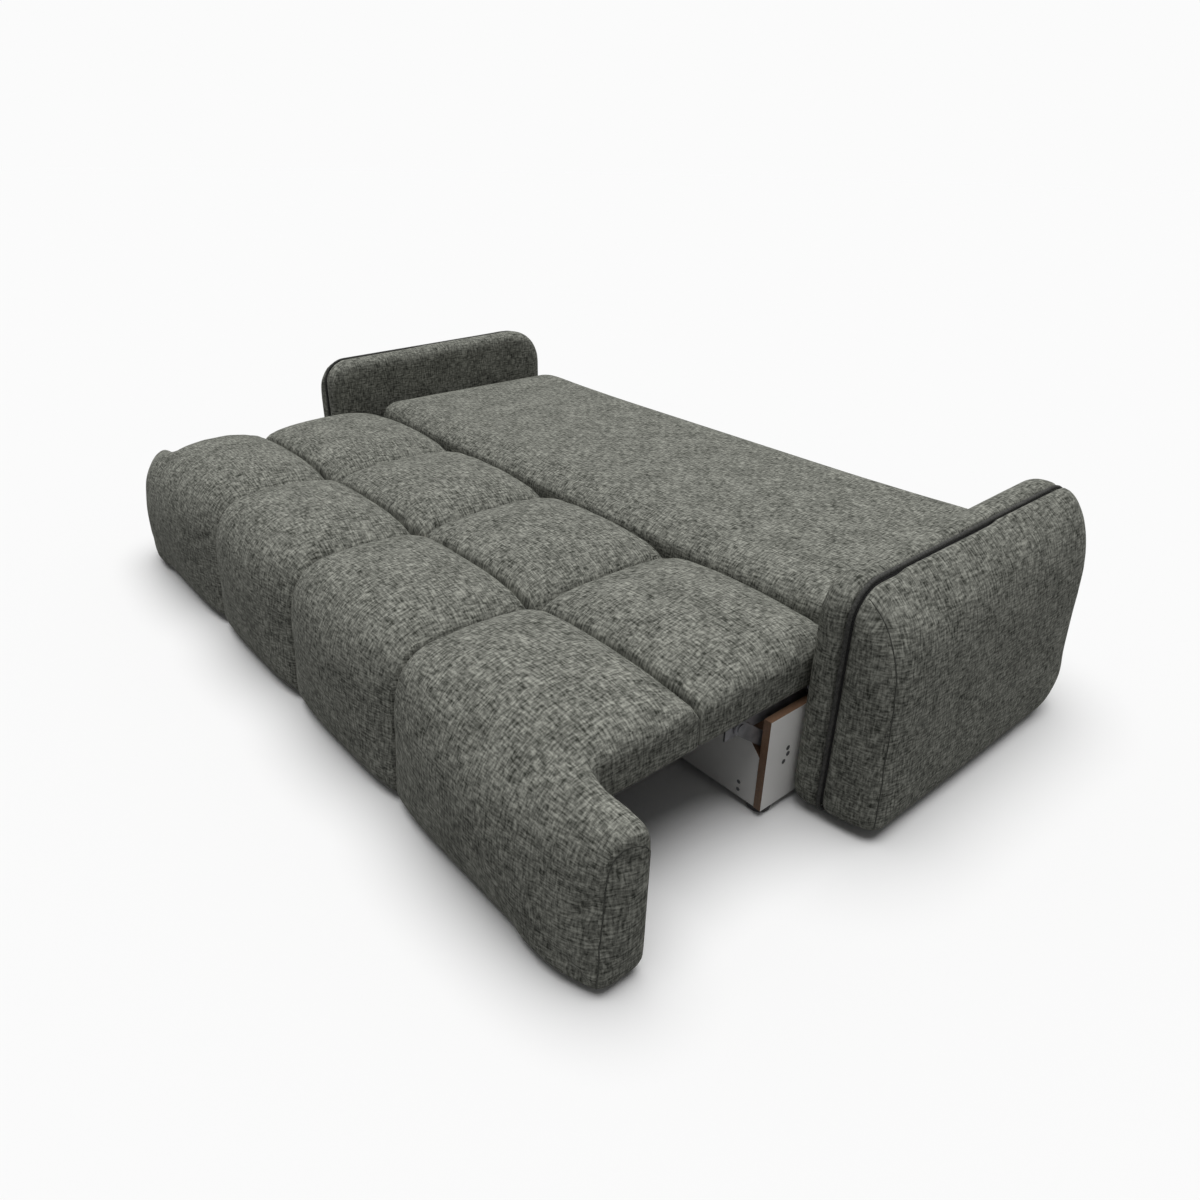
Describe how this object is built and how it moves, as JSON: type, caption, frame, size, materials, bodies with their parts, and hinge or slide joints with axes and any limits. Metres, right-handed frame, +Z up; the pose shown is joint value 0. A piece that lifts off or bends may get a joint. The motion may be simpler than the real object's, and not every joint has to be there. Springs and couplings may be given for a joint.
{
  "type": "sofa bed",
  "caption": "Sofa bed opened flat: puffed seat pulled out on stepping levers, backrest folded down, rounded arms, white bedding box under it.",
  "frame": {"origin": "on the floor, at the middle of the opened bed's outline", "axes": "+X along the width to the right-hand arm seen from the front, +Y from the drop front to the rear, +Z up"},
  "size_m": [2.38, 1.5223, 0.5475],
  "materials": {
    "cover": "matte",
    "piping": "matte",
    "laminate": "satin",
    "timber": "matte",
    "steel": "satin",
    "foot_plastic": "matte",
    "rest_rubber": "matte",
    "lining": "matte"
  },
  "bodies": {
    "base": {"box_side_left": "laminate", "box_side_right": "laminate", "box_front_panel": "laminate", "box_rear_panel": "laminate", "box_floor": "laminate", "box_partition": "laminate", "corner_blocks": "timber", "front_panel_screws": "steel", "box_feet": "foot_plastic", "seat_rests": "rest_rubber", "back_support_rail": "timber", "arm_cores": "timber", "arm_band_left": "cover", "arm_band_right": "cover", "arm_pillow_left": "cover", "arm_pillow_right": "cover", "arm_piping_left": "piping", "arm_piping_right": "piping", "arm_glides": "foot_plastic", "arm_bolts": "steel", "base_plate_left": "steel", "base_plate_right": "steel", "base_plate_screws": "steel", "lower_pivot_pins": "steel", "lower_pivot_washers": "foot_plastic"},
    "front_levers": {"front_lever_left": "steel", "front_lever_right": "steel"},
    "rear_levers": {"rear_lever_left": "steel", "rear_lever_right": "steel"},
    "seat": {"seat_bracket_left": "steel", "seat_bracket_right": "steel", "seat_bracket_screws": "steel", "upper_pivot_pins": "steel", "seat_side_rails": "timber", "seat_cross_rails": "timber", "seat_bearers": "timber", "seat_webbing": "lining", "seat_lining": "lining", "drop_board": "timber", "drop_glides": "foot_plastic", "rear_puff_inner_left": "cover", "rear_puff_inner_right": "cover", "rear_puff_outer_left": "cover", "rear_puff_outer_right": "cover", "front_puff_inner_left": "cover", "front_puff_inner_right": "cover", "front_puff_outer_left": "cover", "front_puff_outer_right": "cover", "hinge_plates": "steel", "hinge_plate_bolts": "steel", "hinge_pins": "steel"},
    "backrest": {"hinge_bushes": "foot_plastic", "back_side_rails": "timber", "back_cross_rails": "timber", "back_bearers": "timber", "back_webbing": "lining", "back_lining": "lining", "back_pad": "cover"}
  },
  "joints": [
    {"name": "front_lever_swing", "type": "hinge", "parent": "base", "child": "front_levers", "pos_m": [0, -0.034, 0.067], "axis": [-1, 0, 0], "range_deg": [0, 102.35]},
    {"name": "rear_lever_swing", "type": "hinge", "parent": "base", "child": "rear_levers", "pos_m": [0, 0.186, 0.067], "axis": [-1, 0, 0], "range_deg": [0, 102.35]},
    {"name": "seat_level", "type": "hinge", "parent": "front_levers", "child": "seat", "pos_m": [0, -0.249, 0.24], "axis": [1, 0, 0], "range_deg": [0, 102.35]},
    {"name": "backrest_fold", "type": "hinge", "parent": "seat", "child": "backrest", "pos_m": [0, 0.12, 0.3285], "axis": [1, 0, 0], "range_deg": [0, 78.81]}
  ],
  "couplings": [
    {"joint": "rear_lever_swing", "follows": "front_lever_swing", "ratio": 1},
    {"joint": "seat_level", "follows": "front_lever_swing", "ratio": 1},
    {"joint": "backrest_fold", "follows": "front_lever_swing", "ratio": 0.77}
  ]
}
